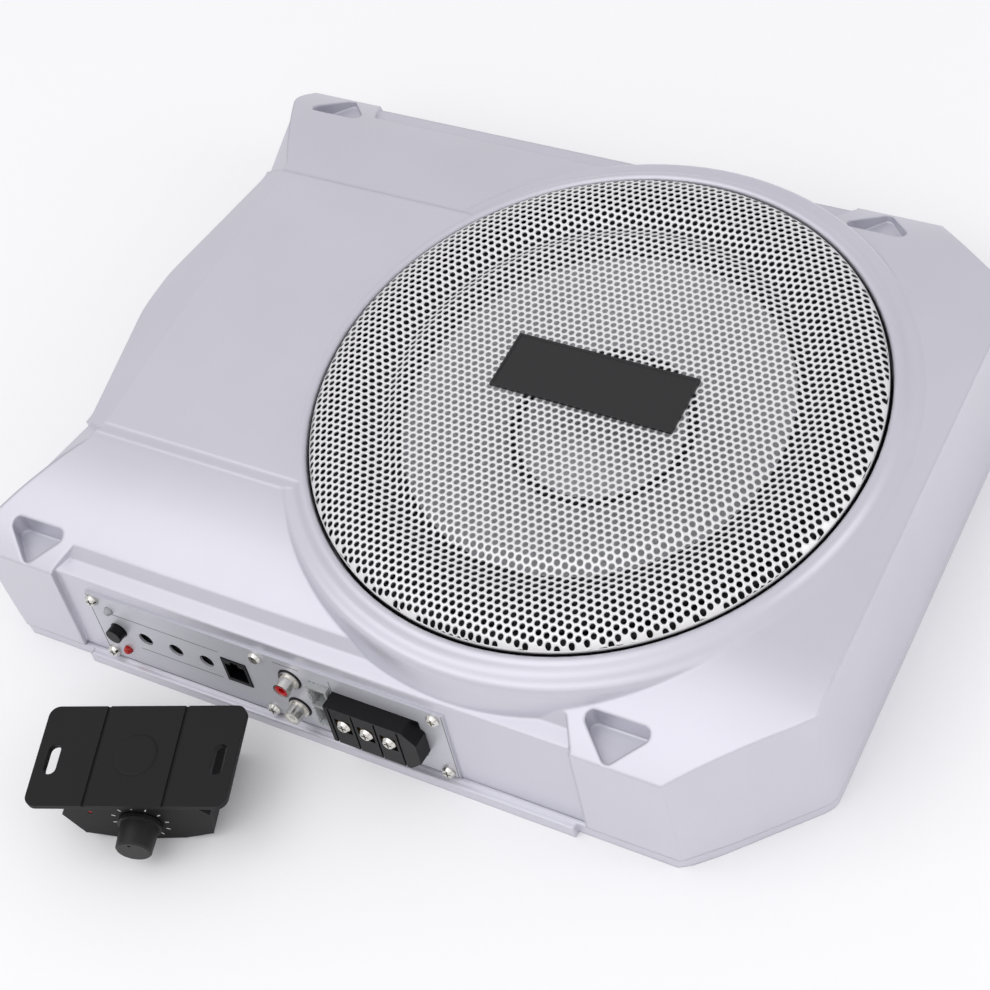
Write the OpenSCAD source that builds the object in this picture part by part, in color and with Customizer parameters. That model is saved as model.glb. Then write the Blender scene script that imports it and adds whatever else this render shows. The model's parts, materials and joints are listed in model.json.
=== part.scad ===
// Powered car subwoofer: a shallow moulded enclosure with a built-in amplifier,
// a round driver under a domed grille, and a separate wired level control.
// Origin: centre of the enclosure's base, on the surface it stands on.
// +X runs to the driver's end, -Y is the control panel's side, +Z is up.

/* [Enclosure] */
// Overall length of the enclosure
body_len = 420; // [400:1:440]
// Half width of the deck at its long edges
edge_half = 158; // [156:0.5:160]
// Height of the deck's long edges
edge_z = 58; // [56:0.5:60]
// Height of the flat middle of the deck
deck_z = 76; // [75:0.5:77]
// Height of the raised plateau beside the driver
plateau_z = 80; // [79:0.5:80.5]
// Lean of the long walls from upright
wall_lean = 8; // [7:0.5:9]
// Wall thickness of the moulded cover
wall = 3; // [2.5:0.1:3.5]
// Height of the tray's rim
tray_rim = 6; // [5:0.5:7]

/* [Driver ring] */
// Centre of the driver along X
ring_x = 52; // [50:1:54]
// Radius of the opening that the grille fills
ring_r = 134; // [133:0.5:135]
// Height of the ring's lip
lip_z = 80.4; // [80:0.1:81]

/* [Driver] */
// Radius of the driver's flange
flange_r = 129; // [128:0.5:130]
// Radius of the paper cone's outer edge
cone_r = 96; // [94:1:97]
// Radius of the magnet
magnet_r = 60; // [56:1:62]
// Radius of the voice coil former, inside
coil_r = 25.5; // [25.4:0.1:25.7]

/* [Grille] */
// Height of the grille's centre field
grille_z = 87.5; // [86:0.5:89]
// Thickness of the grille's sheet
sheet_t = 1; // [0.8:0.1:1.2]

/* [Control panel] */
// Length of the control panel
panel_w = 197; // [190:1:200]
// Height of the control panel
panel_h = 45; // [43:1:46]
// Centre of the control panel along X
panel_x = -48.5; // [-50:0.5:-47]
// Height of the control panel's centre
panel_z = 28.5; // [28:0.5:29]
// Distance between the three rotary controls
pot_pitch = 17.8; // [17:0.1:18.5]
// Radius of a rotary control's shaft
shaft_r = 3; // [2.8:0.1:3.2]
// Radius of a phono socket's shell
phono_r = 4.15; // [4.1:0.05:4.2]
// Distance between the terminal screws
terminal_pitch = 12; // [11:0.5:12.5]

/* [Level control] */
// Width of the level control's mounting plate
remote_w = 96; // [92:1:100]
// Depth of the mounting plate
remote_d = 50; // [48:1:52]
// Height of the mounting plate's top
remote_h = 37; // [35:0.5:38]
// Radius of the level knob
knob_r = 10; // [9.5:0.5:10.5]
// Place of the level control along X
remote_x = -82; // [-90:1:-75]
// Place of the level control along Y
remote_y = -217; // [-222:1:-214]
// Turn of the level control about Z
remote_turn = 20; // [18:1:22]

/* [Hidden] */
$fn = 96;
eps = 0.01;
big = 600;
x_lo = -body_len / 2;
x_hi = body_len / 2;
base_half = edge_half + edge_z * tan(wall_lean);
crown_from = 90;                       // the deck is flat out to here, then curves down
crown_run = edge_half - crown_from;
crown_drop = deck_z - edge_z;
crown_r = (crown_run * crown_run + crown_drop * crown_drop) / (2 * crown_drop);
plateau_half = 85;
plateau_x = x_lo + 37;
recess_x0 = -163;
recess_x1 = 114;
recess_in = 2.5;                       // set back of the long walls between the corners
baffle_z = 66;
pocket_floor = 55;
pocket_xs = [x_lo + 31, x_hi - 79];
corner_cuts = [                        // heading, lean and a point of each leaning plane
    [48.9, 4.6, [x_hi - 25, 140.5, edge_z / 2]], [52.8, 9.2, [x_hi, 117, edge_z + 4]]
];
cap_r = 40;
panel_up = (panel_z - edge_z) / cos(wall_lean);
panel_face = edge_half - recess_in;
row_z = 0;                             // middle row of the panel
gain_x = -118.4;
button_x = -134.5;
phono_x = -33;
phono_rise = 10;
socket_x = -65.5;
speaker_in_x = -16.5;
terminal_x = 13;
coil_h = 10;
board_z = 11;
knob_z = 16;
motor_z = 8;                           // underside of the driver's back plate
case_screws_at = [                     // x, y and the height of the cover's ceiling there
    [-190, -140, 54], [-190, 140, 54], [-155, -148, 58.6], [-60, 148, 58.6], [75, -147, 58.6],
    [75, 147, 58.6], [180, -110, 72], [180, 110, 72], [-188, 0, 70], [198, 0, 73]
];

// ---------- shared shapes ----------

module tube(r_out, r_in, h) {
    difference() {
        cylinder(r = r_out, h = h);
        translate([0, 0, -1]) cylinder(r = r_in, h = h + 2);
    }
}

module screw(r_head, h_head, r_shank, h_shank) {
    // pan head with a cross recess, head on z = 0 and shank below
    difference() {
        union() {
            cylinder(r = r_head, h = h_head * 0.45);
            translate([0, 0, h_head * 0.45]) cylinder(r1 = r_head, r2 = r_head * 0.72, h = h_head * 0.55);
            translate([0, 0, -h_shank]) cylinder(r = r_shank, h = h_shank + eps);
        }
        for (turn = [0, 90]) {
            rotate(turn) translate([-r_head * 0.6, -r_head * 0.13, h_head * 0.4])
                cube([r_head * 1.2, r_head * 0.26, h_head]);
        }
    }
}

module at_ring() {
    translate([ring_x, 0, 0]) children();
}

// local frame of the panel: x along it, z up its slope, -y out of it, origin on its mid line
module on_panel(x = 0, z = 0, out = 0) {
    translate([0, -panel_face, edge_z]) rotate([-wall_lean, 0, 0])
        translate([x, -out, panel_up + z]) children();
}

// a cylinder whose axis points out of the panel, from depth "from" to "to"
module peg(r, from, to) {
    translate([0, -from, 0]) rotate([90, 0, 0]) cylinder(r = r, h = to - from);
}

module block_out(w, h, from, to) {
    translate([-w / 2, -to, -h / 2]) cube([w, to - from, h]);
}

// ---------- enclosure ----------

function toward(p, q, d) = p + (q - p) * d / norm(q - p);

// a corner b between a and c, drawn as a short curve that starts d before it
function round_corner(a, b, c, d) =
    let (from = toward(b, a, d), to = toward(b, c, d))
    [for (t = [0:0.25:1]) from * pow(1 - t, 2) + b * 2 * t * (1 - t) + to * pow(t, 2)];

// half of the outline, from the driver's end round to the waist: each corner and its rounding
function half_outline(i) = [
    [[x_hi - i, 117 - i * 0.4], 5], [[x_hi - 44.5 - i * 0.6, 161.5 - i * 0.8], 6],
    [[x_hi - 60, 170 - i], 5], [[x_lo + 18, 170 - i], 4],
    [[x_lo + 8 + i * 0.4, 164 - i], 5], [[x_lo + i, 149 - i * 0.4], 5],
    [[x_lo + 26 + i, 82], 4], [[x_lo + 7 + i, 12], 6]
];

// space inside one of the leaning planes that cut the driver end's corners
module corner_space(side, cut, inset) {
    translate([cut[2][0], side * cut[2][1], cut[2][2]]) rotate([0, 0, side * cut[0]])
        rotate([0, -cut[1], 0]) translate([-big - inset, -big, -big / 2]) cube([big, 2 * big, big]);
}

// outline seen from above: chamfered driver end, waisted plain end
module plan(inset, from, h) {
    half = half_outline(inset);
    back = [for (k = [len(half) - 1:-1:0]) [[half[k][0][0], -half[k][0][1]], half[k][1]]];
    loop = concat(half, back);
    n = len(loop);
    intersection() {
        translate([0, 0, from]) linear_extrude(h) polygon([
            for (k = [0:n - 1])
                each round_corner(loop[(k + n - 1) % n][0], loop[k][0], loop[(k + 1) % n][0], loop[k][1])
        ]);
        corner_space(-1, corner_cuts[0], inset);
        corner_space(1, corner_cuts[0], inset);
        corner_space(-1, corner_cuts[1], inset);
        corner_space(1, corner_cuts[1], inset);
    }
}

// long block with leaning walls, full height
module leaning_block(inset, top) {
    reach = (top - edge_z) * tan(wall_lean);
    translate([-big / 2, 0, 0]) rotate([90, 0, 90]) linear_extrude(big) polygon([
        [-base_half + inset, 0], [base_half - inset, 0],
        [edge_half - inset - reach, top], [-edge_half + inset + reach, top]
    ]);
}

// deck: flat in the middle, falling in two arcs to the long edges
module crown(drop) {
    translate([-big / 2, -crown_from, -big + deck_z - drop]) cube([big, 2 * crown_from, big]);
    for (side = [-1, 1]) {
        translate([-big / 2, side * crown_from, deck_z - crown_r - drop]) rotate([0, 90, 0])
            cylinder(r = crown_r, h = big, $fn = 180);
    }
}

module deck_body(inset, from) {
    intersection() {
        crown(inset);
        leaning_block(inset, deck_z + 5);
        plan(inset, from, 100);
    }
}

// raised plateau with sloped edges, cut off where it falls away to the plain end
module plateau() {
    top = plateau_z;
    slope = 5;
    intersection() {
        translate([x_lo, 0, 0]) rotate([90, 0, 90]) linear_extrude(ring_x - 40 - x_lo) polygon([
            [-plateau_half - slope, top - slope - 1], [plateau_half + slope, top - slope - 1],
            [plateau_half, top], [-plateau_half, top]
        ]);
        plan(0, 0, 100);
    }
}

// the planes that slope down from the plateau to the plain end's wall
module end_slopes() {
    for (side = [-1, 1]) {
        translate([plateau_x - 1, 0, plateau_z]) rotate([0, 0, -side * 1.5])
            rotate([90, 0, 0]) translate([0, 0, side > 0 ? -100 : -2]) linear_extrude(102)
                polygon([[0, 0], [-70, -70 * tan(19)], [-70, 40], [0, 40]]);
    }
}

// chamfer that runs from a plateau corner out to the corner of the plain end
module lobe_facet(side) {
    a = [plateau_x - 1, side * 87, 77.5];
    b = [x_lo + 24, side * 80, 72];
    c = [x_lo - 3, side * 152, 60];
    up = [0, 0, 40];
    far = [-30, 0, -14];
    pts = [a, b + far, c + far, c, a + up, b + far + up, c + far + up, c + up];
    flip = side > 0;
    faces = [[0, 1, 3], [1, 2, 3], [7, 5, 4], [7, 6, 5], [0, 4, 5], [0, 5, 1],
        [1, 5, 6], [1, 6, 2], [2, 6, 7], [2, 7, 3], [3, 7, 4], [3, 4, 0]];
    polyhedron(pts, flip ? [for (f = faces) [f[2], f[1], f[0]]] : faces);
}

// rounded triangular pocket: its base lies towards the middle, its tip outwards
module pocket(x, side) {
    hull() {
        for (p = [[-11.5, 0], [11.5, 0], [0, 11]]) {
            translate([x + p[0], side * (142 + p[1]), pocket_floor]) cylinder(r = 3.5, h = 30, $fn = 24);
        }
    }
}

// stepped recess between the corner blocks of a long side
module side_recess(side) {
    over = 30;
    mirror([0, side > 0 ? 1 : 0, 0]) intersection() {
        translate([recess_x0, 0, 0]) rotate([90, 0, 90]) linear_extrude(recess_x1 - recess_x0) polygon([
            [-143.5, edge_z + 30], [-143.5, deck_z - 11], [-147.5, edge_z + 1.5],
            [-panel_face, edge_z],
            [-panel_face - (edge_z - tray_rim) * tan(wall_lean), tray_rim],
            [-base_half - over, tray_rim], [-base_half - over, edge_z + 30]
        ]);
        linear_extrude(200) polygon([
            [recess_x0 + 8.5, -140], [recess_x1 - 8.5, -140], [recess_x1, -edge_half + 2],
            [recess_x1, -base_half - over], [recess_x0, -base_half - over], [recess_x0, -edge_half + 2]
        ]);
    }
}

// ring round the driver: lip, step, and skirt that runs down to the deck
module ring_solid() {
    at_ring() rotate_extrude($fn = 180) polygon([
        [ring_r + 1.1, baffle_z - 6], [ring_r + 1.1, lip_z - 2.2], [ring_r + 1.5, lip_z - 1],
        [ring_r + 2.3, lip_z - 0.3], [ring_r + 3.5, lip_z], [ring_r + 4.7, lip_z - 0.2],
        [ring_r + 6, lip_z - 0.9], [ring_r + 7.3, lip_z - 2], [ring_r + 8.6, lip_z - 2.9],
        [ring_r + 10.2, lip_z - 3.4], [ring_r + 12.6, lip_z - 3.7], [ring_r + 14.2, lip_z - 4.2],
        [ring_r + 15.6, lip_z - 5.4], [ring_r + 16.6, lip_z - 7.4], [ring_r + 17.6, lip_z - 11],
        [ring_r + 18.8, lip_z - 17], [ring_r + 20, lip_z - 24], [ring_r + 15, lip_z - 26],
        [ring_r + 7, lip_z - 21]
    ]);
}

module case_screw_places() {
    for (p = case_screws_at) {
        translate([p[0], p[1], 0]) children();
    }
}

// bosses that hang from the cover's ceiling and take the case screws
module case_bosses() {
    for (p = case_screws_at) {
        translate([p[0], p[1], tray_rim]) difference() {
            cylinder(r = 5, h = p[2] - tray_rim);
            translate([0, 0, -1]) cylinder(r = 1.65, h = 24);
        }
    }
}

module top_cover() color("silver") {
    difference() {
        union() {
            difference() {
                union() {
                    deck_body(0, tray_rim + 0.4);
                    plateau();
                }
                end_slopes();
                lobe_facet(-1);
                lobe_facet(1);
                for (side = [-1, 1]) {
                    side_recess(side);
                    for (x = pocket_xs) {
                        pocket(x, side);
                    }
                }
                difference() {
                    deck_body(wall + recess_in, -1);
                    for (side = [-1, 1]) {
                        for (x = pocket_xs) {
                            translate([x - 17, side * 146 - 14, pocket_floor - 2.5]) cube([34, 28, 40]);
                        }
                    }
                    translate([x_lo, -200, 66]) cube([48, 400, 20]);
                }
                at_ring() cylinder(r = ring_r + 3, h = 100, $fn = 180);
            }
            ring_solid();
            at_ring() translate([0, 0, baffle_z - 6]) tube(ring_r + 2, 117.5, 6);
            case_bosses();
        }
        on_panel(panel_x) block_out(panel_w - 13, panel_h - 13, -12, 20);
        on_panel() panel_screw_places() peg(1.65, -10, 5);
        at_ring() driver_screw_places() translate([0, 0, baffle_z - 12]) cylinder(r = 1.75, h = 14, $fn = 32);
        at_ring() translate([0, 0, 40]) cylinder(r = 117.5, h = 60, $fn = 180);
    }
}

module bottom_tray() color("silver") {
    difference() {
        intersection() {
            leaning_block(0.6, deck_z);
            plan(0.6, 0, tray_rim);
        }
        translate([0, 0, 3]) intersection() {
            leaning_block(6, deck_z);
            plan(6, 0, 20);
        }
        case_screw_places() {
            translate([0, 0, -1]) cylinder(r = 2, h = 20);
            translate([0, 0, -1]) cylinder(r = 4.2, h = 2.6);
        }
    }
    difference() {
        case_screw_places() tube(5, 2, tray_rim);
        case_screw_places() translate([0, 0, -1]) cylinder(r = 4.2, h = 2.6);
    }
    // sill along each recess
    sill_h = tray_rim - 0.4;
    for (side = [-1, 1]) {
        mirror([0, side > 0 ? 1 : 0, 0]) translate([recess_x0 + 5, -base_half - 2.4, 0])
            rotate([90, 0, 90]) linear_extrude(recess_x1 - recess_x0 - 10)
                polygon([[0, 0], [4, 0], [4, sill_h], [0.8, sill_h]]);
    }
}

module case_screws() color("dimgray") {
    case_screw_places() translate([0, 0, 1.6]) rotate([180, 0, 0]) screw(3.6, 1.5, 1.6, 20);
}

// ---------- grille ----------

module grille() color("gainsboro") {
    z = grille_z;
    t = sheet_t;
    // centre field, step down to a valley, crest, then rolled down to the edge
    top = [[0, z], [60, z], [92, z - 0.7], [96.5, z - 2.6], [100, z - 2.9], [105, z - 1.2],
        [112, z - 0.2], [118, z - 0.5], [124, z - 1.6], [129, z - 3.3], [132.2, z - 5.2]];
    n = len(top) - 1;
    at_ring() rotate_extrude($fn = 144) polygon(concat(
        top, [[ring_r - 0.3, z - 7.2]], [[ring_r - 0.3, z - 9]], [[ring_r - 1.4, z - 9]],
        [for (i = [n:-1:0]) [max(0, top[i][0] - (i > 8 ? t * 0.7 : 0)), top[i][1] - t]]
    ));
}

module grille_ring() color([0.1, 0.1, 0.1]) {
    at_ring() translate([0, 0, baffle_z]) tube(ring_r, flange_r + 0.4, grille_z - 9 - baffle_z);
}

module badge() color([0.12, 0.12, 0.13]) {
    at_ring() translate([1, 2.7, grille_z]) difference() {
        translate([-46.5, -15.5, 0]) cube([93, 31, 1.6]);
        translate([-45.3, -14.3, 1.3]) cube([90.6, 28.6, 1]);
    }
}

// ---------- driver ----------

module driver_screw_places() {
    for (k = [0:7]) {
        rotate(22.5 + k * 45) translate([123, 0, 0]) children();
    }
}

module basket() color([0.15, 0.15, 0.16]) {
    at_ring() difference() {
        rotate_extrude($fn = 144) polygon([
            [flange_r, baffle_z], [flange_r, baffle_z + 3], [100, baffle_z + 3], [100, baffle_z - 1],
            [71, 42], [68, 41.2], [62, 41.2], [62, 38], [28, 38], [28, 34], [66, 34], [74, 38],
            [104, baffle_z - 4], [115, baffle_z - 2], [115, baffle_z]
        ]);
        for (k = [0:5]) {
            rotate(k * 60) translate([84, 0, 30]) rotate([0, 25, 0]) cylinder(r = 15, h = 26);
        }
        driver_screw_places() translate([0, 0, 60]) cylinder(r = 2.4, h = 20, $fn = 32);
    }
}

module basket_gasket() color([0.08, 0.08, 0.08]) {
    at_ring() translate([0, 0, baffle_z + 3]) tube(119, 108, 3);
}

module driver_screws() color("dimgray") {
    at_ring() driver_screw_places() translate([0, 0, baffle_z + 3]) screw(3.8, 2.2, 1.7, 9);
}

module top_plate() color("gray") {
    at_ring() translate([0, 0, 28]) tube(magnet_r - 6, 27.4, 6);
}

module magnet() color([0.2, 0.2, 0.21]) {
    at_ring() translate([0, 0, motor_z + 5]) tube(magnet_r, 32, 28 - motor_z - 5);
}

module back_plate() color("gray") {
    at_ring() {
        difference() {
            union() {
                translate([0, 0, motor_z]) cylinder(r = magnet_r - 6, h = 5);
                translate([0, 0, motor_z + 1]) cylinder(r = coil_r - 0.7, h = 34 - motor_z - 1);
            }
            translate([0, 0, motor_z - 1]) cylinder(r = 8, h = 40);
        }
    }
}

module coil_former() color("tan") {
    at_ring() translate([0, 0, 21]) tube(coil_r + 0.3, coil_r, 30);
}

module voice_coil() color("peru") {
    at_ring() translate([0, 0, 31 - coil_h / 2]) tube(coil_r + 1.2, coil_r + 0.3, coil_h);
}

module spider() color("goldenrod") {
    at_ring() rotate_extrude($fn = 96) polygon(concat(
        [for (i = [0:15]) [coil_r + 0.8 + i * 2.6, i > 13 ? 41.85 : 43.2 + 1.1 * cos(i * 90)]],
        [for (i = [15:-1:0]) [coil_r + 0.8 + i * 2.6, i > 13 ? 41.25 : 42.6 + 1.1 * cos(i * 90)]]
    ));
}

module cone() color([0.72, 0.73, 0.75]) {
    at_ring() rotate_extrude($fn = 144) polygon([
        [coil_r + 0.3, 49], [coil_r + 3, 50], [cap_r, 55.5], [66, 63.5], [cone_r, 70.4],
        [cone_r, 71.2], [66, 64.5], [cap_r, 56.6], [coil_r + 3, 51], [coil_r + 0.3, 51]
    ]);
}

module cap_ring() color([0.25, 0.25, 0.26]) {
    at_ring() rotate_extrude($fn = 96) polygon([
        [cap_r + 0.3, 56.8], [cap_r + 5, 58.3], [cap_r + 4.6, 59.5], [cap_r + 1.2, 58.9], [cap_r + 0.3, 58.1]
    ]);
}

module dust_cap() color([0.78, 0.79, 0.81]) {
    rise = 11;
    r = (cap_r * cap_r + rise * rise) / (2 * rise);
    at_ring() difference() {
        intersection() {
            translate([0, 0, 57.8 + rise - r]) sphere(r = r, $fn = 120);
            translate([0, 0, 57.8]) cylinder(r = cap_r + 1, h = 40);
        }
        translate([0, 0, 57 + rise - r]) sphere(r = r, $fn = 120);
    }
}

module surround() color([0.07, 0.07, 0.07]) {
    // half roll between the cone's edge and the gasket
    mid = (cone_r + 108) / 2 + 0.3;
    roll = 6.2;
    at_ring() translate([0, 0, 72.1]) {
        difference() {
            rotate_extrude($fn = 120) translate([mid, 0]) circle(r = roll, $fn = 48);
            rotate_extrude($fn = 120) translate([mid, 0]) circle(r = roll - 1, $fn = 48);
            translate([0, 0, -20]) cylinder(r = 140, h = 20);
        }
        tube(118, mid + roll - 0.6, 1.2);
        translate([0, 0, -0.4]) tube(mid - roll + 0.6, cone_r - 4, 1.1);
    }
}

module driver_tags() color("goldenrod") {
    at_ring() for (side = [-1, 1]) {
        translate([-64, side * 6 - 2.5, 27]) cube([1, 5, 7]);
    }
}

// ---------- amplifier ----------

module control_panel() color([0.78, 0.79, 0.8]) {
    on_panel() difference() {
        translate([panel_x, 0, 0]) block_out(panel_w, panel_h, 0, 1.2);
        for (k = [0:2]) {
            translate([gain_x + k * pot_pitch, 0, row_z]) peg(3.9, -3, 5);
        }
        translate([button_x, 0, row_z]) peg(4.6, -3, 5);
        translate([button_x - 1, 0, 13.7]) peg(2.4, -3, 5);
        translate([button_x + 1, 0, -13.7]) peg(2.4, -3, 5);
        translate([socket_x, 0, row_z]) block_out(14.4, 16.4, -3, 5);
        for (side = [-1, 1]) {
            translate([phono_x, 0, row_z + side * phono_rise]) peg(6.2, -3, 5);
        }
        translate([speaker_in_x, 0, row_z]) block_out(11.4, 28.4, -3, 5);
        translate([terminal_x, 0, row_z]) block_out(45.4, 24.4, -3, 5);
        panel_screw_places() peg(1.8, -3, 5);
    }
}

module panel_screw_places() {
    for (x = [-143.5, -49.5, 45], z = [-18.5, 18.5]) {
        translate([x, 0, z]) children();
    }
}

module panel_screws() color("gainsboro") {
    on_panel() panel_screw_places() translate([0, -1.2, 0]) rotate([90, 0, 0]) screw(3.3, 2.4, 1.6, 9);
}

module amp_board() color([0.1, 0.35, 0.18]) {
    translate([-139, -141, board_z]) cube([191, 40, 1.6]);
    translate([-139, -102, board_z]) cube([63, 70, 1.6]);
}

module board_pillars() color("gold") {
    for (p = [[-135, -137], [-60, -108], [40, -108], [-135, -38], [-82, -38]]) {
        translate([p[0], p[1], 3]) cylinder(r = 3, h = board_z - 3, $fn = 32);
    }
}

module heatsink() color([0.6, 0.61, 0.62]) {
    translate([-153, -100, 3]) cube([4, 120, 36]);
    for (k = [0:9]) {
        translate([-167, -98 + k * 12.6, 3]) cube([14.5, 2.2, 36]);
    }
}

module transistors() color([0.13, 0.13, 0.13]) {
    for (k = [0:3]) {
        translate([-149, -90 + k * 17, 16]) cube([4.5, 11, 15]);
    }
}

module clamp_bar() color("gray") {
    translate([-144.5, -94, 21]) cube([2, 72, 6]);
}

module toroid() color([0.75, 0.5, 0.2]) {
    translate([-112, -62, board_z + 1.6]) tube(19, 8, 18);
}

module capacitors() color([0.12, 0.14, 0.2]) {
    for (p = [[-88, -92], [-88, -74], [-20, -117], [0, -117], [20, -117]]) {
        translate([p[0], p[1], board_z + 1.6]) cylinder(r = 7.5, h = 20, $fn = 48);
    }
}

module pot_bodies() color([0.3, 0.3, 0.32]) {
    on_panel() for (k = [0:2]) {
        translate([gain_x + k * pot_pitch, 0, row_z]) difference() {
            block_out(12, 13, -14, -1.2);
            peg(shaft_r + 0.05, -11, 2);
        }
    }
}

// slotted shaft, set below the panel's face
module pot_shaft(k) {
    color([0.08, 0.08, 0.08]) on_panel(gain_x + k * pot_pitch, row_z) difference() {
        peg(shaft_r, -10.5, -0.9);
        rotate([0, 45, 0]) block_out(shaft_r * 2 + 1, 0.9, -1.9, 3);
    }
}

module gain_shaft() {
    pot_shaft(0);
}

module filter_shaft() {
    pot_shaft(1);
}

module boost_shaft() {
    pot_shaft(2);
}

module phase_switch() color([0.85, 0.85, 0.83]) {
    on_panel(button_x, row_z) difference() {
        block_out(8.5, 8.5, -18, -4.2);
        peg(2.05, -12, 2);
    }
}

module phase_button() color([0.08, 0.08, 0.08]) {
    on_panel(button_x, row_z) union() {
        peg(4.1, -1.6, 6);
        peg(2, -9, -1.5);
    }
}

module lamp(colour) {
    color(colour) {
        peg(2.2, -5, 1.8);
        translate([0, -1.8, 0]) sphere(r = 2.2, $fn = 48);
    }
}

module power_led() {
    on_panel(button_x + 1, -13.7) lamp([0.85, 0.1, 0.08]);
}

module clip_led() {
    on_panel(button_x - 1, 13.7) lamp([0.9, 0.9, 0.92]);
}

module remote_jack() color([0.1, 0.1, 0.1]) {
    on_panel(socket_x, row_z) difference() {
        block_out(14, 16, -15, 1.6);
        translate([0, 0, -0.6]) block_out(11, 10.4, -11, 3);
        translate([0, 0, 5]) block_out(4.4, 3.4, -11, 3);
    }
}

module phono_block() color([0.1, 0.1, 0.11]) {
    on_panel(phono_x, row_z) block_out(13, 31, -14, -0.6);
    on_panel(phono_x) for (side = [-1, 1]) {
        translate([0, 0, side * phono_rise]) peg(6, -1, 1.7);
    }
}

module phono_shells() color("silver") {
    on_panel(phono_x) for (side = [-1, 1]) {
        translate([0, 0, row_z + side * phono_rise]) difference() {
            union() {
                peg(phono_r, 1.7, 8.6);
                peg(5.4, 1.7, 2.7);
            }
            peg(3.35, 1, 9);
        }
    }
}

module phono_insert(up, colour) {
    color(colour) on_panel(phono_x, row_z + up * phono_rise) difference() {
        peg(3.3, 1.7, 8.2);
        peg(1.65, 2.5, 9);
    }
}

module phono_insert_red() {
    phono_insert(1, [0.75, 0.08, 0.07]);
}

module phono_insert_white() {
    phono_insert(-1, [0.92, 0.92, 0.9]);
}

module speaker_in_socket() color([0.85, 0.86, 0.86]) {
    on_panel(speaker_in_x, row_z) difference() {
        block_out(11, 28, -14, 4);
        for (side = [-1, 1]) {
            translate([0, 0, side * 6.6]) block_out(8.6, 11.6, -10, 6);
        }
    }
}

module speaker_in_pins() color("gold") {
    on_panel(speaker_in_x, row_z) for (x = [-2.2, 2.2], z = [-9, -4.4, 4.4, 9]) {
        translate([x, 0, z]) block_out(0.8, 0.8, -10, -4);
    }
}

// barrier block: a screw and washer in a shallow well for each wire, which enters from below
module terminal_cells() {
    for (k = [-1:1]) {
        translate([terminal_x - 2 + k * terminal_pitch, 0, 1]) children();
    }
}

module terminal_block() color([0.07, 0.07, 0.07]) {
    on_panel() difference() {
        translate([terminal_x, 0, 0]) {
            block_out(45, 24, -10, 1.6);
            translate([-22.5, -1.6, 0]) rotate([90, 0, 0]) linear_extrude(8)
                polygon([[0, -13], [41, -13], [47.5, -7], [47.5, 6], [41, 12], [0, 12]]);
        }
        terminal_cells() {
            block_out(8.2, 8.2, 7.4, 20);
            translate([0, 0, -7.5]) block_out(8, 21, 0.8, 6.6);
            peg(1.6, -5, 8);
        }
        for (k = [-1:2]) {
            translate([terminal_x - 2 + (k - 0.5) * terminal_pitch, 0, -4]) block_out(0.9, 30, 8.4, 20);
        }
    }
}

module terminal_clamps() color("gold") {
    on_panel() terminal_cells() difference() {
        block_out(7.8, 7.8, 7.4, 8.3);
        peg(1.6, 6, 10);
    }
}

module terminal_screws() color("silver") {
    on_panel() terminal_cells() translate([0, -8.3, 0]) rotate([90, 0, 0]) screw(3.4, 2.6, 1.55, 7);
}

// ---------- level control ----------

module at_remote() {
    translate([remote_x, remote_y, 0]) rotate(remote_turn) children();
}

module remote_plate() color([0.12, 0.12, 0.12]) {
    t = 3;
    at_remote() translate([0, 0, remote_h - t]) difference() {
        linear_extrude(t) offset(r = 5, $fn = 32) offset(delta = -5)
            square([remote_w, remote_d], center = true);
        for (side = [-1, 1]) {
            hull() {
                for (y = [-4.5, 4.5]) {
                    translate([side * (remote_w / 2 - 8), y - 2, -1]) cylinder(r = 3, h = t + 2, $fn = 32);
                }
            }
            translate([side * 19 - 0.8, -remote_d, t - 0.8]) cube([1.6, 2 * remote_d, 2]);
        }
    }
}

module remote_shell_plan(inset) {
    polygon([
        [-28 + inset, remote_h - 3 - inset], [28 - inset, remote_h - 3 - inset],
        [35.5 - inset, 23], [31 - inset, 5.5 + inset * 0.8], [16, 1 + inset], [0, 0 + inset],
        [-16, 1 + inset], [-31 + inset, 5.5 + inset * 0.8], [-35.5 + inset, 23]
    ]);
}

module remote_housing() color([0.1, 0.1, 0.1]) {
    at_remote() difference() {
        translate([0, 20, 0]) rotate([90, 0, 0]) linear_extrude(42) remote_shell_plan(0);
        translate([0, 24, 0]) rotate([90, 0, 0]) linear_extrude(43.6) remote_shell_plan(2);
        translate([0, -10, knob_z]) rotate([90, 0, 0]) cylinder(r = 4, h = 20);
        translate([-21, -10, 25]) rotate([90, 0, 0]) cylinder(r = 1.1, h = 20, $fn = 32);
    }
    at_remote() remote_screw_places() translate([0, 20, 0]) rotate([90, 0, 0]) tube(3, 1.25, 12);
}

module remote_screw_places() {
    for (side = [-1, 1]) {
        translate([side * 29, 0, 16]) children();
    }
}

module remote_back() color([0.1, 0.1, 0.1]) {
    at_remote() difference() {
        translate([0, 22, 0]) rotate([90, 0, 0]) linear_extrude(2) remote_shell_plan(0.2);
        translate([-7, 15, 9.4]) cube([14, 12, 13.2]);
        remote_screw_places() translate([0, 25, 0]) rotate([90, 0, 0]) cylinder(r = 1.4, h = 10, $fn = 32);
    }
}

module remote_knob() color([0.09, 0.09, 0.09]) {
    at_remote() translate([0, -22.4, knob_z]) rotate([90, 0, 0]) difference() {
        union() {
            cylinder(r = knob_r, h = 2.2);
            translate([0, 0, 2.2]) cylinder(r1 = knob_r - 1.2, r2 = knob_r - 1.8, h = 11.3);
            translate([0, 0, 13.5]) cylinder(r1 = knob_r - 1.8, r2 = knob_r - 2.5, h = 0.7);
            translate([0, 0, -9]) cylinder(r = shaft_r, h = 10);
        }
        translate([0, knob_r - 4.6, 13.6]) cylinder(r = 0.8, h = 2, $fn = 24);
    }
}

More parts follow.
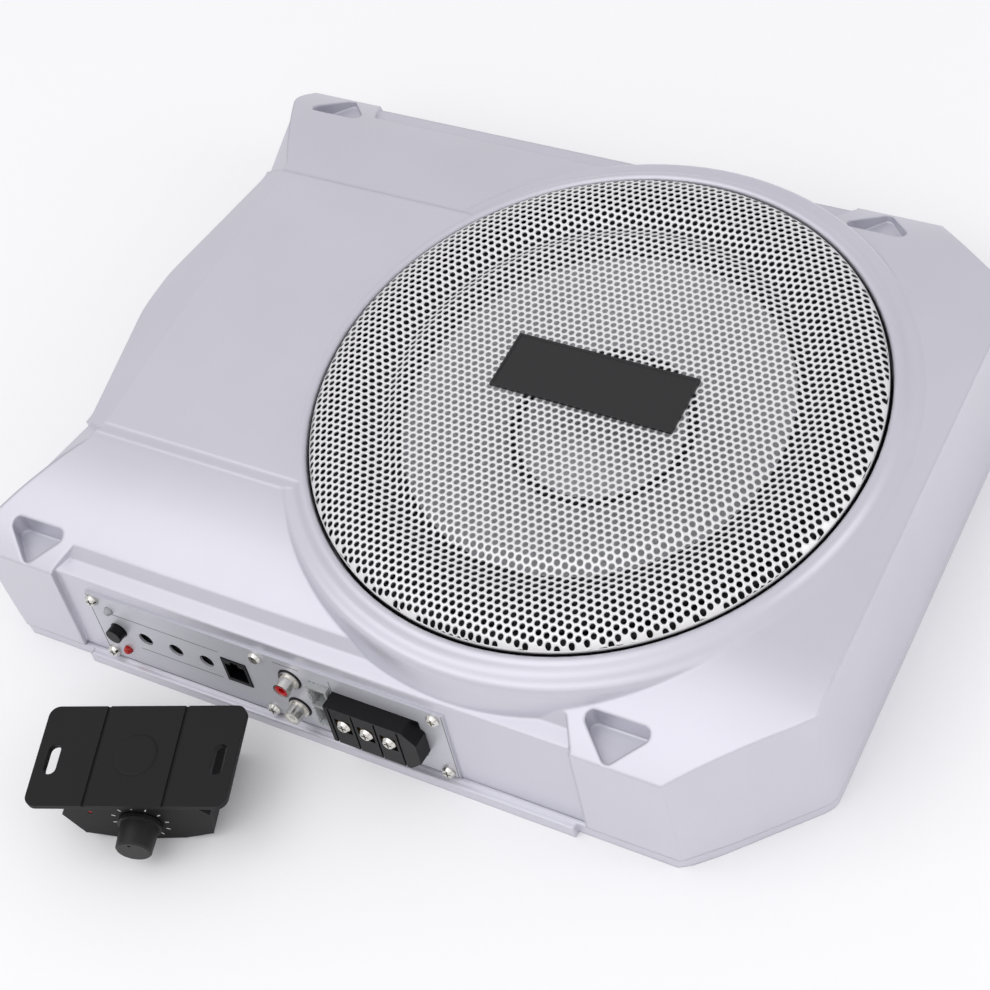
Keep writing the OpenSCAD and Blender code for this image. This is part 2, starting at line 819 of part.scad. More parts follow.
module remote_pot() color([0.4, 0.4, 0.42]) {
    at_remote() difference() {
        translate([-8, -19.5, knob_z - 8.5]) cube([16, 9, 17]);
        translate([0, -11.5, knob_z]) rotate([90, 0, 0]) cylinder(r = shaft_r + 0.05, h = 12);
    }
}

module remote_board() color([0.1, 0.35, 0.18]) {
    at_remote() translate([-23, -10.5, 6.4]) cube([46, 1.6, 22]);
}

module remote_led() color([0.7, 0.1, 0.1]) {
    at_remote() translate([-21, -10.5, 25]) rotate([90, 0, 0]) cylinder(r = 1, h = 11.2, $fn = 32);
}

module remote_socket() color([0.15, 0.15, 0.15]) {
    at_remote() difference() {
        translate([-6.8, 7, 9.6]) cube([13.6, 15.4, 12.8]);
        translate([-5, 11, 11.4]) cube([10, 15, 9.2]);
    }
}

module remote_screws() color("dimgray") {
    at_remote() remote_screw_places() translate([0, 22, 0]) rotate([-90, 0, 0]) screw(2.4, 1.4, 1.2, 9);
}

top_cover();
bottom_tray();
case_screws();
grille();
grille_ring();
badge();
basket();
basket_gasket();
driver_screws();
top_plate();
magnet();
back_plate();
coil_former();
voice_coil();
spider();
cone();
cap_ring();
dust_cap();
surround();
driver_tags();
control_panel();
panel_screws();
amp_board();
board_pillars();
heatsink();
transistors();
clamp_bar();
toroid();
capacitors();
pot_bodies();
gain_shaft();
filter_shaft();
boost_shaft();
phase_switch();
phase_button();
power_led();
clip_led();
remote_jack();
phono_block();
phono_shells();
phono_insert_red();
phono_insert_white();
speaker_in_socket();
speaker_in_pins();
terminal_block();
terminal_clamps();
terminal_screws();
remote_plate();
remote_housing();
remote_back();
remote_knob();
remote_pot();
remote_board();
remote_led();
remote_socket();
remote_screws();
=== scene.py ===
"""Looks for the powered car subwoofer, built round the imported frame.

A shallow moulded enclosure in satin silver paint, a domed perforated grille over a
silver cone, a satin aluminium control panel, and a separate black level control.
"""

import json
import math

import bpy
import numpy as np
from mathutils import Matrix


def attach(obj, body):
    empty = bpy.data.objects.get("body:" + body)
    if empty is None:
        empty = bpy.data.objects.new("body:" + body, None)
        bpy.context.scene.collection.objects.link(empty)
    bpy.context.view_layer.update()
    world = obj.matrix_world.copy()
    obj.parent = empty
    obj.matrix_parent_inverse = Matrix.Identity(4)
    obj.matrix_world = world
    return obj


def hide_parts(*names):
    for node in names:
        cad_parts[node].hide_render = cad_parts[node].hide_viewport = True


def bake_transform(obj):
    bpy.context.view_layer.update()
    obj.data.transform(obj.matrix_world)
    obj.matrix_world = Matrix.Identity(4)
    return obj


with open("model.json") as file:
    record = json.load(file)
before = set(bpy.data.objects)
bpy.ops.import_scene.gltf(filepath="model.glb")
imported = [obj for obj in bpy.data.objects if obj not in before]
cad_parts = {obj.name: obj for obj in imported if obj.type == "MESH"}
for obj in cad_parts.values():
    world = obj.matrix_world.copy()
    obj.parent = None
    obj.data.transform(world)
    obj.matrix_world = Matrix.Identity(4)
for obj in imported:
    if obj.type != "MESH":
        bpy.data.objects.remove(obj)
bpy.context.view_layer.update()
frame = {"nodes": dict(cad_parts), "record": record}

MM = 0.001
RING_X = 52.0            # centre of the driver along X, mm
GRILLE_Z = 87.5          # height of the grille's centre field, mm
HOLE_PITCH = 3.8         # distance between neighbouring grille holes, mm
HOLE_R = 1.38            # radius of a grille hole, mm
GRILLE_EDGE = 133.45     # radius where the sheet rolls over, mm
GRILLE_SHEET = 0.7       # thickness of the sheet, mm
FIELD_R = 92             # radius where the grille's field ends and its rim starts, mm
PANEL_LEAN = math.radians(8)
PANEL_TOP = (-155.5, 58.0)   # y and z of the top edge of the wall that the panel lies on, mm
PANEL_MIDDLE = -29.791   # the panel's mid line, measured down that wall from its top edge, mm
REMOTE_AT = (-82.0, -217.0)  # centre of the level control on the floor, mm
REMOTE_TURN = math.radians(20)


# ---------------------------------------------------------------- camera and light

def make_camera(azimuth, elevation, roll, place, lens, shift):
    """The camera looks along azimuth and elevation and is rolled about that line."""
    az, el, ro = (math.radians(v) for v in (azimuth, elevation, roll))
    ahead = np.array([-math.sin(az) * math.cos(el), math.cos(az) * math.cos(el), -math.sin(el)])
    level = np.array([math.cos(az), math.sin(az), 0.0])
    above = np.cross(level, ahead)
    right = math.cos(ro) * level + math.sin(ro) * above
    up = np.cross(right, ahead)
    data = bpy.data.cameras.new("camera")
    data.lens = lens
    data.sensor_width = 36.0
    data.shift_x, data.shift_y = shift
    data.clip_start, data.clip_end = 0.05, 20.0
    camera = bpy.data.objects.new("camera", data)
    bpy.context.scene.collection.objects.link(camera)
    turn = np.eye(4)
    turn[:3, 0], turn[:3, 1], turn[:3, 2], turn[:3, 3] = right, up, -ahead, place
    camera.matrix_world = Matrix(turn.tolist())
    bpy.context.scene.camera = camera


make_camera(azimuth=41.02, elevation=49.79, roll=-18.64, place=(0.46714, -0.47536, 0.82787),
            lens=78.73, shift=(-0.1011, -0.1011))


def soft_box(name, place, aim, size, watts):
    """A rectangular white lamp at place that faces aim, all in metres."""
    data = bpy.data.lights.new(name, "AREA")
    data.shape = "RECTANGLE"
    data.size, data.size_y = size
    data.energy = watts
    lamp = bpy.data.objects.new(name, data)
    bpy.context.scene.collection.objects.link(lamp)
    away = np.subtract(aim, place)
    away = away / np.linalg.norm(away)
    side = np.cross(away, (0.0, 0.0, 1.0))
    side = side / np.linalg.norm(side)
    up = np.cross(side, away)
    turn = np.eye(4)
    turn[:3, 0], turn[:3, 1], turn[:3, 2], turn[:3, 3] = side, up, -away, place
    lamp.matrix_world = Matrix(turn.tolist())


soft_box("overhead_softbox", place=(-0.8, -0.8, 2.3), aim=(0.0, 0.0, 0.0), size=(2.4, 2.0), watts=15)
soft_box("key_softbox", place=(0.5, -1.3, 1.5), aim=(0.0, 0.0, 0.0), size=(1.6, 1.2), watts=3)
soft_box("side_softbox", place=(1.7, 0.1, 0.8), aim=(0.0, 0.0, 0.05), size=(1.0, 1.0), watts=4)


# ---------------------------------------------------------------- materials

def linear(hexcode):
    """An sRGB hex code as a linear colour with alpha 1, by the sRGB curve."""
    parts = [int(hexcode[i:i + 2], 16) / 255 for i in (1, 3, 5)]
    return [p / 12.92 if p <= 0.04045 else ((p + 0.055) / 1.055) ** 2.4 for p in parts] + [1.0]


def add(tree, kind, inputs=None, **settings):
    """Adds a node, sets its properties, and fills its sockets with values or (node, output) links."""
    made = tree.nodes.new(kind)
    for key, value in settings.items():
        setattr(made, key, value)
    for key, value in (inputs or {}).items():
        socket = made.inputs[key]
        if isinstance(value, tuple) and len(value) == 2 and hasattr(value[0], "outputs"):
            tree.links.new(value[0].outputs[value[1]], socket)
        else:
            socket.default_value = value
    return made


def ramp(tree, source, stops):
    """A colour ramp over source; stops are (place, colour)."""
    made = add(tree, "ShaderNodeValToRGB", {"Fac": source})
    band = made.color_ramp
    while len(band.elements) < len(stops):
        band.elements.new(0.5)
    for element, (at, colour) in zip(band.elements, stops):
        element.position = at
        element.color = colour
    return made


def surface(name, **sockets):
    """A new Principled material with constant sockets; returns material, tree and shader."""
    material = bpy.data.materials.new(name)
    material.use_nodes = True
    tree = material.node_tree
    tree.nodes.clear()
    shader = add(tree, "ShaderNodeBsdfPrincipled", {k.replace("_", " "): v for k, v in sockets.items()})
    add(tree, "ShaderNodeOutputMaterial", {"Surface": (shader, "BSDF")})
    material.diffuse_color = sockets.get("Base_Color", (0.5, 0.5, 0.5, 1.0))
    return material, tree, shader


def object_mm(tree):
    """A node whose Vector is the object coordinates in millimetres."""
    place = add(tree, "ShaderNodeTexCoord")
    return add(tree, "ShaderNodeMapping", {"Vector": (place, "Object"), "Scale": (1000.0, 1000.0, 1000.0)})


def tint_and_grain(tree, shader, colour, spread, grain_mm, depth, rough, rough_spread):
    """Colour that drifts softly over centimetres, a fine bump of grain_mm by depth mm, and roughness
    to match; returns the bump node."""
    where = object_mm(tree)
    drift = add(tree, "ShaderNodeTexNoise", {"Vector": (where, "Vector"), "Scale": 1 / 60, "Detail": 3.0})
    dark = [c * (1 - spread) for c in colour[:3]] + [1.0]
    light = [min(1.0, c * (1 + spread)) for c in colour[:3]] + [1.0]
    shade = ramp(tree, (drift, "Fac"), [(0.3, dark), (0.7, light)])
    tree.links.new(shade.outputs["Color"], shader.inputs["Base Color"])
    fine = add(tree, "ShaderNodeTexNoise", {"Vector": (where, "Vector"), "Scale": 1 / grain_mm,
                                            "Detail": 2.0})
    gloss = add(tree, "ShaderNodeMapRange", {"Value": (fine, "Fac"), "To Min": rough - rough_spread,
                                             "To Max": rough + rough_spread})
    tree.links.new(gloss.outputs["Result"], shader.inputs["Roughness"])
    bump = add(tree, "ShaderNodeBump", {"Height": (fine, "Fac"), "Strength": 0.6, "Distance": depth * MM})
    tree.links.new(bump.outputs["Normal"], shader.inputs["Normal"])
    return bump


def silver_paint():
    """Satin metallic silver sprayed on moulded ABS: pale, with a soft broad sheen and a faint
    orange-peel, and edges rounded by the mould and the paint's own thickness."""
    base = linear("#D1D0D9")
    material, tree, shader = surface("satin_silver_paint", Base_Color=base, Metallic=0.6, Coat_Weight=0.45,
                                     Coat_Roughness=0.16)
    bump = tint_and_grain(tree, shader, base, spread=0.02, grain_mm=0.9, depth=0.012, rough=0.42,
                          rough_spread=0.03)
    edge = add(tree, "ShaderNodeBevel", {"Radius": 2.2 * MM}, samples=8)
    tree.links.new(edge.outputs["Normal"], bump.inputs["Normal"])
    return material


def plain(name, hexcode, rough, metal=0.0, spread=0.04, grain=0.5, depth=0.01, rough_spread=0.05,
          edge=0.0, **sockets):
    """A moulded, cast or plated finish: a base colour with drift, a grain of stated size and depth, and
    edges rounded by edge; grain, depth and edge are in mm."""
    base = linear(hexcode)
    material, tree, shader = surface(name, Base_Color=base, Metallic=metal, **sockets)
    bump = tint_and_grain(tree, shader, base, spread, grain, depth, rough, rough_spread)
    if edge:
        corner = add(tree, "ShaderNodeBevel", {"Radius": edge * MM}, samples=6)
        tree.links.new(corner.outputs["Normal"], bump.inputs["Normal"])
    return material


def brushed_panel():
    """Satin anodised aluminium sheet: fine lines along X, a soft stretched highlight."""
    base = linear("#CDCDD4")
    material, tree, shader = surface("satin_anodised_aluminium", Base_Color=base, Metallic=0.4,
                                     Roughness=0.38)
    where = object_mm(tree)
    stretch = add(tree, "ShaderNodeMapping", {"Vector": (where, "Vector"), "Scale": (0.02, 3.0, 3.0)})
    lines = add(tree, "ShaderNodeTexNoise", {"Vector": (stretch, "Vector"), "Scale": 1.0, "Detail": 4.0})
    shade = ramp(tree, (lines, "Fac"), [(0.3, [c * 0.93 for c in base[:3]] + [1.0]), (0.7, base)])
    tree.links.new(shade.outputs["Color"], shader.inputs["Base Color"])
    bump = add(tree, "ShaderNodeBump", {"Height": (lines, "Fac"), "Strength": 0.3, "Distance": 0.01 * MM})
    tree.links.new(bump.outputs["Normal"], shader.inputs["Normal"])
    return material


def clear(name, hexcode, rough, amount):
    """Clear or tinted moulded resin with a little haze; amount is the share of light let through."""
    base = linear(hexcode)
    material, tree, shader = surface(name, Base_Color=base, Roughness=rough, IOR=1.5,
                                     Transmission_Weight=amount)
    where = object_mm(tree)
    haze = add(tree, "ShaderNodeTexNoise", {"Vector": (where, "Vector"), "Scale": 0.3, "Detail": 2.0})
    gloss = add(tree, "ShaderNodeMapRange", {"Value": (haze, "Fac"), "To Min": rough, "To Max": rough + 0.12})
    tree.links.new(gloss.outputs["Result"], shader.inputs["Roughness"])
    return material


def wound_wire():
    """Enamelled copper wire wound side by side: bands of one wire's width, 0.8 mm, darkened in the grooves as
    painted shade.
    """
    base = linear("#B4652F")
    material, tree, shader = surface("enamelled_copper_wire", Base_Color=base, Metallic=0.8, Roughness=0.3)
    where = object_mm(tree)
    turns = add(tree, "ShaderNodeTexWave", {"Vector": (where, "Vector"), "Scale": 0.4, "Distortion": 0.6},
                bands_direction="Z")
    # painted shade: the dark end of the ramp falls where the bump is lowest, in the grooves between turns
    shade = ramp(tree, (turns, "Fac"), [(0.1, linear("#6E3413")), (0.6, base)])
    tree.links.new(shade.outputs["Color"], shader.inputs["Base Color"])
    bump = add(tree, "ShaderNodeBump", {"Height": (turns, "Fac"), "Strength": 0.7, "Distance": 0.2 * MM})
    tree.links.new(bump.outputs["Normal"], shader.inputs["Normal"])
    return material


def circuit_board():
    """Glass-epoxy board under green solder resist, with copper tracks showing as paler lines."""
    base = linear("#0E5A2C")
    material, tree, shader = surface("green_solder_resist", Base_Color=base, Roughness=0.35, Coat_Weight=0.4)
    where = object_mm(tree)
    tracks = add(tree, "ShaderNodeTexBrick", {"Vector": (where, "Vector"), "Scale": 0.16,
                                              "Color1": base, "Color2": linear("#136A35"),
                                              "Mortar": linear("#2E8A50"), "Mortar Size": 0.03})
    tree.links.new(tracks.outputs["Color"], shader.inputs["Base Color"])
    bump = add(tree, "ShaderNodeBump", {"Height": (tracks, "Fac"), "Strength": 0.3, "Distance": 0.04 * MM})
    tree.links.new(bump.outputs["Normal"], shader.inputs["Normal"])
    return material


FINISHES = {
    # moulded ABS sprayed satin silver
    "shell_silver": silver_paint(),
    # stamped steel sheet, powder coated light grey
    "grille_steel": plain("powder_coated_steel", "#EDECEC", 0.38, metal=0.35, spread=0.02, grain=0.3),
    # satin black plate, faintly glossy
    "badge_black": plain("satin_black_plate", "#161617", 0.34, spread=0.03, grain=0.3, edge=0.3),
    # glass-filled nylon, matt with a fine mould texture
    "black_plastic": plain("moulded_black_nylon", "#060609", 0.36, spread=0.08, grain=0.35, edge=0.25,
                           Specular_IOR_Level=0.22),
    # stamped steel basket, black powder coat
    "basket_black": plain("black_powder_coat", "#1A1A1C", 0.5, spread=0.06, grain=0.6, depth=0.03),
    # rubber surround, soft and dull
    "rubber_black": plain("butyl_rubber", "#121213", 0.6, spread=0.08, grain=0.5, depth=0.02),
    # black zinc screws
    "dark_screw": plain("black_zinc", "#3A3A3D", 0.36, metal=0.9, grain=0.4, edge=0.15),
    # bright nickel screws and shells
    "bright_screw": plain("bright_nickel", "#DAD8D2", 0.2, metal=1.0, grain=0.6, edge=0.15,
                          rough_spread=0.04),
    # zinc plated iron
    "plated_iron": plain("zinc_plated_iron", "#A9ABAD", 0.34, metal=1.0, spread=0.1, grain=1.2),
    # sintered ferrite, dark and dull
    "ferrite": plain("sintered_ferrite", "#2E2E31", 0.55, spread=0.1, grain=0.4, depth=0.03),
    # polyimide film former
    "former_tan": plain("polyimide_film", "#8A5A22", 0.3, grain=0.8),
    # enamelled copper wire
    "copper_wire": wound_wire(),
    # phenolic-stiffened cotton
    "spider_cloth": plain("phenolic_cotton", "#A9802F", 0.8, spread=0.1, grain=0.5, depth=0.15),
    # fibre cone with a silver coat
    "cone_silver": plain("silver_coated_fibre", "#B9BABE", 0.42, metal=0.35, spread=0.05, grain=0.9,
                         depth=0.05),
    # brass with a flash of gold
    "brass_contact": plain("gold_flashed_brass", "#C9A24A", 0.25, metal=1.0, grain=0.8),
    # satin anodised aluminium sheet
    "panel_silver": brushed_panel(),
    # glass-epoxy board under solder resist
    "board_green": circuit_board(),
    # extruded aluminium
    "heatsink_aluminium": plain("extruded_aluminium", "#B8B9BB", 0.4, metal=1.0, spread=0.06, grain=0.5),
    # heat-shrink sleeve, smooth and dark blue
    "sleeve_black": plain("shrink_sleeve", "#1A1E2E", 0.28, grain=2.0),
    # white acetal, and the white ink of the level control's ticks
    "white_plastic": plain("white_acetal", "#E9E8E2", 0.3, grain=0.5, edge=0.2),
    # red and clear epoxy lamp lenses
    "lens_red": clear("red_lens", "#E0281A", 0.12, 0.45),
    "lens_clear": clear("clear_lens", "#E8EAEE", 0.08, 0.6),
    # red acetal socket insert
    "insert_red": plain("red_acetal", "#B4151A", 0.28, grain=0.5, edge=0.2),
    # natural nylon, hazy
    "clear_plastic": clear("natural_nylon", "#D9DCDC", 0.22, 0.55),
    # fine spark-eroded texture on black ABS
    "remote_black": plain("textured_black_abs", "#151516", 0.56, spread=0.05, grain=0.45, depth=0.03,
                          edge=0.5, Specular_IOR_Level=0.25),
    # soft-touch lacquer over black ABS
    "knob_black": plain("soft_touch_black", "#0D0D0E", 0.5, spread=0.05, grain=0.3, edge=0.4),
}

slot_of = {row["node"]: row["material_slot"] for row in frame["record"]["subparts"]}
for node_name, thing in frame["nodes"].items():
    finish = FINISHES[slot_of[node_name]]
    for holder in thing.material_slots:
        holder.material = finish


# ---------------------------------------------------------------- mesh helpers

def piece(name, points, faces, body, slot, smooth=True, flat_from=None):
    """A mesh object from points in mm, riding on body, if any, in slot's finish. Faces from flat_from on
    are flat shaded."""
    mesh = bpy.data.meshes.new(name)
    mesh.from_pydata((np.asarray(points, float) * MM).tolist(), [], [list(f) for f in faces])
    mesh.update()
    shade = np.full(len(mesh.polygons), smooth)
    if flat_from is not None:
        shade[flat_from:] = False
    mesh.polygons.foreach_set("use_smooth", shade)
    made = bpy.data.objects.new(name, mesh)
    bpy.context.scene.collection.objects.link(made)
    mesh.materials.append(FINISHES[slot])
    if body:
        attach(made, body)
    return made


def spun(profile, steps, x, y):
    """Points of a closed profile (radius, height) spun about the upright line at x, y, and its quads."""
    angle = np.linspace(0, 2 * np.pi, steps, endpoint=False)
    outline = np.array([*profile, profile[0]])
    points = np.stack([x + outline[:, :1] * np.cos(angle), y + outline[:, :1] * np.sin(angle),
                       np.broadcast_to(outline[:, 1:], (len(outline), steps))], -1).reshape(-1, 3)
    row, column = np.meshgrid(np.arange(len(outline) - 1) * steps, np.arange(steps), indexing="ij")
    after = (column + 1) % steps
    quads = np.stack([row + steps + column, row + steps + after, row + after, row + column], -1)
    return points, quads.reshape(-1, 4).tolist()


# ---------------------------------------------------------------- grille

def step(a, b, v):
    """0 before a, 1 after b, an even S between."""
    t = np.clip((v - a) / (b - a), 0, 1)
    return t * t * (3 - 2 * t)


def grille_height(r):
    """Height of the grille's top at radius r: a flat field, a valley, a crest, then a fall that steepens
    towards the rolled edge, most of all in the last 3 mm."""
    # radii between which the height changes, mm
    flat_to, valley, crest_from, crest_to, brink = 90, 98.5, 111, 112, 130.5
    slope_length, brink_length = 21.7, 3
    # how far it changes, mm
    dip, climb, fall, drop = 2.9, 2.7, 5.9, 1.5
    crown = GRILLE_Z - dip * step(flat_to, valley, r) + climb * step(valley, crest_from, r)
    slope = crown - fall * np.clip((r - crest_to) / slope_length, 0, 1.2) ** 2.5
    return slope - drop * np.clip((r - brink) / brink_length, 0, 1.2) ** 2


def hole_centres(r_from, r_to):
    """Centres of the holes between two radii, on an even lattice of HOLE_PITCH in staggered rows: x, y
    and radius."""
    row_gap = HOLE_PITCH * math.sqrt(3) / 2
    count = int(GRILLE_EDGE / row_gap) + 2
    i, j = np.meshgrid(np.arange(-count, count + 1), np.arange(-count, count + 1), indexing="ij")
    x = (i + 0.5 * (j % 2)) * HOLE_PITCH
    y = j * row_gap
    r = np.hypot(x, y)
    keep = (r >= r_from) & (r < r_to)
    return x[keep], y[keep], r[keep]


def round_each(x, y, radius, degrees, limit):
    """Points at radius round each centre, one per angle, drawn in to limit from the grille's middle."""
    px = x[:, None] + radius * np.cos(np.radians(degrees))
    py = y[:, None] + radius * np.sin(np.radians(degrees))
    pull = np.minimum(1, limit / np.hypot(px, py))
    return px * pull, py * pull


def perforated(name, r_from, r_to):
    """Hexagonal cells with a round hole each, for the holes from r_from to r_to.

    A cell is six corners and twelve points on its hole, on the top sheet and again one sheet lower,
    so the holes have walls. Corners and holes that reach past the circle where the edge rolls over
    are drawn in to it, so the last holes are cut short by the edge."""
    cell_r = HOLE_PITCH / math.sqrt(3)
    land = 0.12         # metal left between a cut-short hole and the edge, mm
    blank = 0.3         # a cell whose centre is closer than this to the edge has no hole, mm
    same_point = 0.05   # corners closer than about this are one point, mm
    cx, cy, cr = hole_centres(r_from, r_to)
    bored = cr < GRILLE_EDGE - blank
    hx, hy = round_each(cx, cy, cell_r, 30 + 60 * np.arange(6), GRILLE_EDGE)
    ox, oy = round_each(cx[bored], cy[bored], HOLE_R, 30 * np.arange(12), GRILLE_EDGE - land)
    # corners shared by neighbouring cells are one point
    key = np.round(np.stack([hx.ravel(), hy.ravel()], 1) / same_point).astype(np.int64)
    _, first, back = np.unique(key, axis=0, return_index=True, return_inverse=True)
    back = back.reshape(hx.shape)
    px, py = hx.ravel()[first], hy.ravel()[first]
    x = np.concatenate([px, ox.ravel()])
    y = np.concatenate([py, oy.ravel()])
    z = grille_height(np.hypot(x, y))
    top = np.stack([x + RING_X, y, z], 1)
    low = np.stack([x + RING_X, y, z - GRILLE_SHEET], 1)
    n = len(top)
    hole = len(px) + np.arange(ox.size).reshape(-1, 12)
    h = back[bored]
    faces = []
    for k in range(6):
        # corner k sits over hole point 2k + 1; the next corner over 2k + 3
        a, b = h[:, k], h[:, (k + 1) % 6]
        p, q, s = hole[:, (2 * k + 1) % 12], hole[:, (2 * k + 2) % 12], hole[:, (2 * k + 3) % 12]
        faces += [np.stack([a, q, p], 1), np.stack([a, b, q], 1), np.stack([b, s, q], 1)]
    caps = back[~bored]
    if len(caps):
        for k in range(1, 5):
            faces.append(np.stack([caps[:, 0], caps[:, k], caps[:, k + 1]], 1))
    upper = np.concatenate(faces)
    real = (upper[:, 0] != upper[:, 1]) & (upper[:, 1] != upper[:, 2]) & (upper[:, 0] != upper[:, 2])
    upper = upper[real]
    lower = upper[:, ::-1] + n
    walls = []
    for k in range(12):
        p, q = hole[:, k], hole[:, (k + 1) % 12]
        walls.append(np.stack([p, q, q + n, p + n], 1))
    walls = np.concatenate(walls)
    return piece(name, np.concatenate([top, low]), [*upper.tolist(), *lower.tolist(), *walls.tolist()],
                 "enclosure", "grille_steel", flat_from=2 * len(upper))


def grille_roll():
    """The rolled edge: from the last holes over the rim and back underneath."""
    top = float(grille_height(np.array(GRILLE_EDGE)))
    bottom = 78.5
    # distance outside the edge, and height
    section = [(-0.3, top - GRILLE_SHEET), (0, top), (0.15, top - 0.2), (0.25, top - GRILLE_SHEET),
               (0.25, bottom + 0.2), (0.1, bottom), (-0.4, bottom), (-0.5, bottom + 0.3)]
    points, faces = spun([(GRILLE_EDGE + out, z) for out, z in section], steps=240, x=RING_X, y=0.0)
    return piece("grille_roll", points, faces, "enclosure", "grille_steel")


spill = 1.4     # a cell whose centre is this far outside the edge still reaches inside it, mm
field = perforated("grille_field", 0, FIELD_R)
rim = perforated("grille_rim", FIELD_R, GRILLE_EDGE + spill)
roll = grille_roll()
for part in (field, rim, roll):
    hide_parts("grille")


# ---------------------------------------------------------------- parts that flex with the cone, drawn as fixed sectors

def flexing_ring(node, profile, sectors, steps, slot):
    """A ring round the driver whose inner edge, on the real driver, follows the cone while its outer edge
    stays: the spun profile in mm, cut into equal sectors that are each their own fixed, capped mesh."""
    outline = np.array(profile)
    n = len(outline)
    for k in range(sectors):
        angle = 2 * np.pi * (k + np.linspace(0, 1, steps + 1)) / sectors
        points = np.stack([RING_X + np.outer(np.cos(angle), outline[:, 0]),
                           np.outer(np.sin(angle), outline[:, 0]),
                           np.broadcast_to(outline[:, 1], (steps + 1, n))], -1).reshape(-1, 3)
        skin = [(j * n + i, j * n + (i + 1) % n, (j + 1) * n + (i + 1) % n, (j + 1) * n + i)
                for j in range(steps) for i in range(n)]
        caps = [tuple(range(n))[::-1], tuple(steps * n + i for i in range(n))]
        made = piece(f"{node}_{k:02d}", points, skin + caps, None, slot)
        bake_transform(made)
        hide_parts(node)


def surround_profile():
    """A half roll of rubber between the cone's edge and the gasket, as radius and height in mm."""
    middle, base, rise, wall = 102.3, 72.1, 6.2, 1.0
    over = np.radians(np.linspace(170, 12, 14))
    under = np.radians(np.linspace(0, 180, 14))
    outer_skin = [(middle + rise * math.cos(a), base + rise * math.sin(a)) for a in over]
    inner_skin = [(middle + (rise - wall) * math.cos(a), base + (rise - wall) * math.sin(a)) for a in under]
    cone_lip = [(92.0, 71.7), (92.0, 72.8)]
    gasket_lip = [(118.0, 73.3), (118.0, base)]
    return [*cone_lip, *outer_skin, *gasket_lip, *inner_skin, (97.1, 71.7)]


def spider_profile():
    """Corrugated cloth from the coil's neck out to a flat rim, as radius and height in mm: a point every
    quarter wave."""
    neck, quarter_wave, wave_middle, wave_rise, rim_height, cloth = 26.3, 2.6, 43.2, 1.1, 41.85, 0.6
    top = []
    for i in range(16):
        height = rim_height if i > 13 else wave_middle + wave_rise * math.cos(math.radians(90 * i))
        top.append((neck + quarter_wave * i, height))
    return top + [(r, z - cloth) for r, z in reversed(top)]


flexing_ring("surround", surround_profile(), sectors=24, steps=6,
             slot="rubber_black")
flexing_ring("spider", spider_profile(), sectors=12, steps=8, slot="spider_cloth")


# ---------------------------------------------------------------- marks on the panel and the level control

def on_panel(u, v, out):
    """A point u mm along the panel, v mm up from its middle row and out mm off the wall behind it."""
    up = PANEL_MIDDLE + v
    lean_y, lean_z = math.sin(PANEL_LEAN), math.cos(PANEL_LEAN)
    return u, PANEL_TOP[0] - out * lean_z + up * lean_y, PANEL_TOP[1] + out * lean_y + up * lean_z


def on_remote(x, y, z):
    """A point in the level control's own frame, x across its face, -y out of it, z up."""
    c, s = math.cos(REMOTE_TURN), math.sin(REMOTE_TURN)
    return REMOTE_AT[0] + c * x - s * y, REMOTE_AT[1] + s * x + c * y, z


def marks(name, lines, width, place, low, high, body, slot):
    """Lines of print, or of painted shade, as thin bars from low to high off their plane. Each line is
    its two ends in that plane, and place puts a point of it on the object."""
    points, faces = [], []
    for (u0, v0), (u1, v1) in lines:
        along = np.array([u1 - u0, v1 - v0])
        side = np.array([-along[1], along[0]]) / np.linalg.norm(along) * width / 2
        start = len(points)
        for depth in (low, high):
            for u, v in ((u0, v0), (u1, v1)):
                points += [place(u + side[0], v + side[1], depth), place(u - side[0], v - side[1], depth)]
        sides = [(0, 1, 3, 2), (4, 6, 7, 5), (0, 4, 5, 1), (2, 3, 7, 6), (1, 5, 7, 3), (0, 2, 6, 4)]
        faces += [tuple(start + corner for corner in corners) for corners in sides]
    piece(name, points, faces, body, slot, smooth=False)


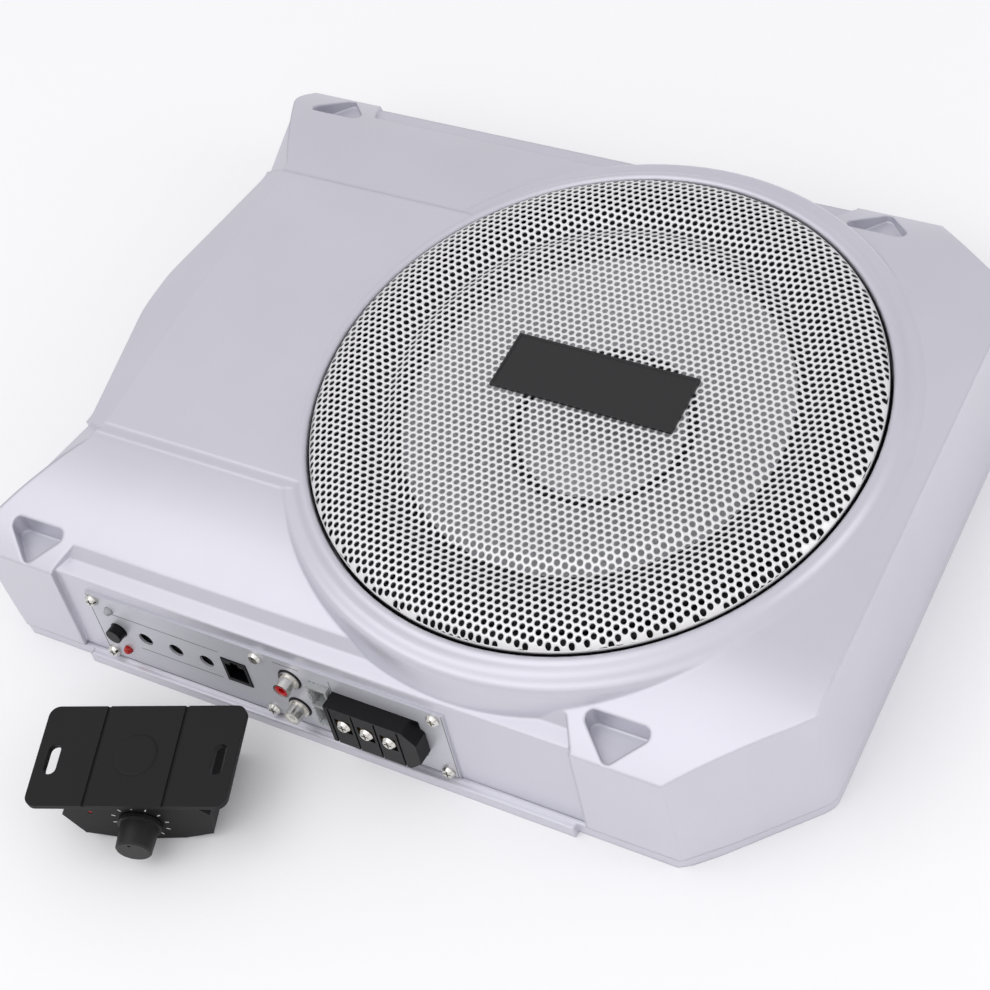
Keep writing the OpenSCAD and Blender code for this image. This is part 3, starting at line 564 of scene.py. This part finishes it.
def panel_print_and_gap_shade():
    """Fine dark rules: printed ones above and below the rotary controls and over and beside the inputs,
    and along three sides of the panel rules of painted shade for the shadowed gap round its edge."""
    left, right, foot = -146.4, 49.4, -21.9
    above_controls, below_controls = 11.2, -8.6
    over_inputs = 19
    face, rule_tops = 1.1, 1.24   # how far the panel's face and the rules' tops stand off the wall, mm
    lines = [((-136, above_controls), (-73, above_controls)), ((-124, below_controls), (-76, below_controls)),
             ((-40, over_inputs), (-26, over_inputs)), ((-10, over_inputs), (-10, 11)),
             # the left, right and bottom rules are painted shade: a dark line where the gap round the panel
             # is in shadow
             ((left, foot), (left, -foot)), ((right, foot), (right, -foot)), ((left, foot), (right, foot))]
    marks("panel_print_and_gap_shade", lines, 0.28, on_panel, face, rule_tops, "enclosure", "black_plastic")


def level_ticks():
    """Eleven white ticks round the level knob, 30 degrees apart, open at the bottom."""
    knob_z = 16                         # height of the knob's axis, mm
    inner, outer = 11.6, 13.4           # radii of a tick's ends, mm
    behind, in_front = 21.9, 22.06      # the ticks' two faces, just behind and in front of the box's, mm
    lines = []
    for turn in np.radians(np.arange(-150, 151, 30)):
        across, up = math.sin(turn), math.cos(turn)
        lines.append(((inner * across, knob_z + inner * up), (outer * across, knob_z + outer * up)))
    marks("level_ticks", lines, 0.55, lambda u, v, out: on_remote(u, -out, v), behind, in_front,
          "remote", "white_plastic")


def plate_emboss():
    """A shallow round boss in the middle of the level control's plate, 0.5 mm high with a soft edge."""
    plate_top = 37.0
    # radius, and height over the plate; the radius of 0.01 mm closes the middle
    section = [(0.01, -0.2), (0.01, 0.5), (9, 0.5), (9.6, 0.4), (10.1, 0.2), (10.4, 0), (10.4, -0.2)]
    x, y = REMOTE_AT
    points, faces = spun([(r, plate_top + z) for r, z in section], steps=96, x=x, y=y)
    piece("plate_emboss", points, faces, "remote", "remote_black", smooth=False)


panel_print_and_gap_shade()
level_ticks()
plate_emboss()


# ---------------------------------------------------------------- floor and surroundings

def floor():
    """A pale studio floor, level with the base."""
    mesh = bpy.data.meshes.new("studio_floor")
    reach = 6.0
    corners = [(-reach, -reach, 0), (reach, -reach, 0), (reach, reach, 0), (-reach, reach, 0)]
    mesh.from_pydata(corners, [], [(0, 1, 2, 3)])
    made = bpy.data.objects.new("studio_floor", mesh)
    bpy.context.scene.collection.objects.link(made)
    paper = surface("studio_paper", Base_Color=linear("#FCFCFC"), Roughness=0.9, Specular_IOR_Level=0.1)[0]
    mesh.materials.append(paper)


floor()
world = bpy.data.worlds.new("studio")
bpy.context.scene.world = world
world.use_nodes = True
sky = world.node_tree.nodes["Background"]
sky.inputs["Color"].default_value = (0.975, 0.97, 1.0, 1.0)
sky.inputs["Strength"].default_value = 0.76
bpy.context.scene.view_settings.view_transform = "Standard"
